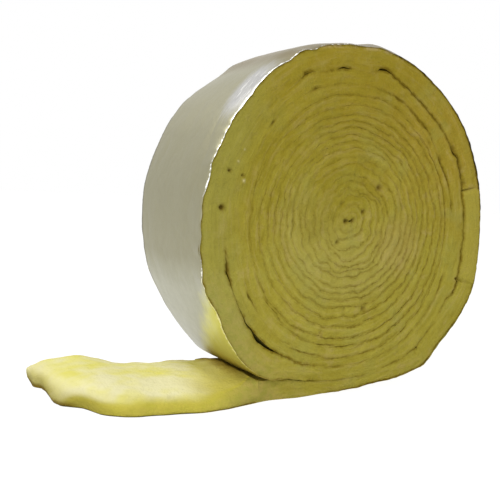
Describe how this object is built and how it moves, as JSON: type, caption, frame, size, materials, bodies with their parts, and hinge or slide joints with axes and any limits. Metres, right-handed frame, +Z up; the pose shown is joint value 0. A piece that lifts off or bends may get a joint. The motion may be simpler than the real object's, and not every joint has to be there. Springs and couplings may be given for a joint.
{
  "type": "insulation roll",
  "caption": "Part-used roll of narrow foil-faced glass-wool wrap, lying with its axis level and its loose end run out flat on the floor.",
  "frame": {"origin": "on the floor below the roll, at the middle of its width", "axes": "+Z up, the roll's axis along Y, the loose end running out towards -X"},
  "size_m": [0.5013, 0.152, 0.3847],
  "materials": {
    "glass_wool": "soft yellow glass wool, matt and fibrous",
    "foil": "thin crinkled aluminium foil, satin"
  },
  "bodies": {
    "root": {"glass_wool_blanket": "glass_wool", "foil_facing": "foil"}
  },
  "joints": []
}
